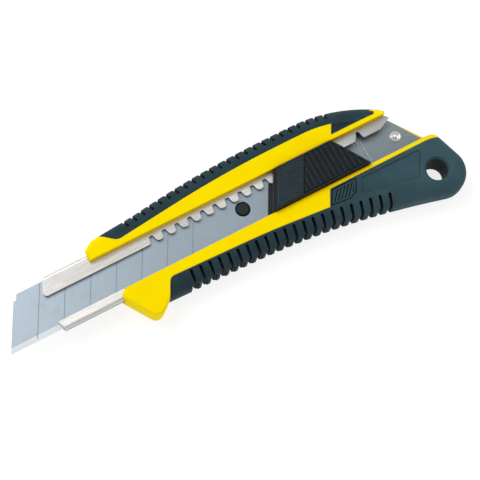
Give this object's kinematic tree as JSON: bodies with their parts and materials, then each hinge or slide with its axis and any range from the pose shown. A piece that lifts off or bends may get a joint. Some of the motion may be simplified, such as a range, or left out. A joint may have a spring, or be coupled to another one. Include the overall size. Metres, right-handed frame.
{
  "type": "snap-off knife",
  "caption": "Snap-off utility knife with a hard handle, ribbed elastomer grips, a toothed steel channel rail, a scored blade and a locking thumb slider.",
  "frame": {"origin": "middle of the bounding box on the flat back that the knife lies on, with the blade out two segments past the rail as in the rest pose", "axes": "+X from the blade's point to the tail, +Y from the cutting edge to the spine, +Z from the flat back to the slider's face"},
  "size_m": [0.174, 0.0483, 0.015],
  "materials": {
    "body_plastic": "smooth yellow moulded plastic",
    "grip_elastomer": "matt blue-black elastomer",
    "rail_steel": "lengthwise brushed stainless sheet",
    "rivet_steel": "bright plated steel",
    "blade_steel": "fine ground blue-grey tool steel",
    "slider_plastic": "matt black moulded plastic",
    "pad_plastic": "matt dark grey moulded plastic, finely knurled",
    "spring_steel": "plain spring steel"
  },
  "bodies": {
    "handle": {"housing": "body_plastic", "spine_grip": "grip_elastomer", "edge_grip": "grip_elastomer", "blade_rail": "rail_steel", "rail_rivet": "rivet_steel"},
    "carriage": {"blade": "blade_steel", "blade_carrier": "slider_plastic", "slider_cover": "slider_plastic", "thumb_pad": "pad_plastic", "button_spring": "spring_steel", "lock_spring": "spring_steel"},
    "button": {"thumb_button": "slider_plastic"}
  },
  "joints": [
    {"name": "blade_slide", "type": "slide", "parent": "handle", "child": "carriage", "axis": [1, 0, 0], "range_m": [-0.06, 0.0231], "deforming": ["lock_spring"]},
    {"name": "button_press", "type": "slide", "parent": "carriage", "child": "button", "axis": [0, 0, -1], "range_m": [0, 0.0013], "stiffness_N_per_m": 200, "springref_m": -0.003, "deforming": ["button_spring", "lock_spring"]}
  ]
}
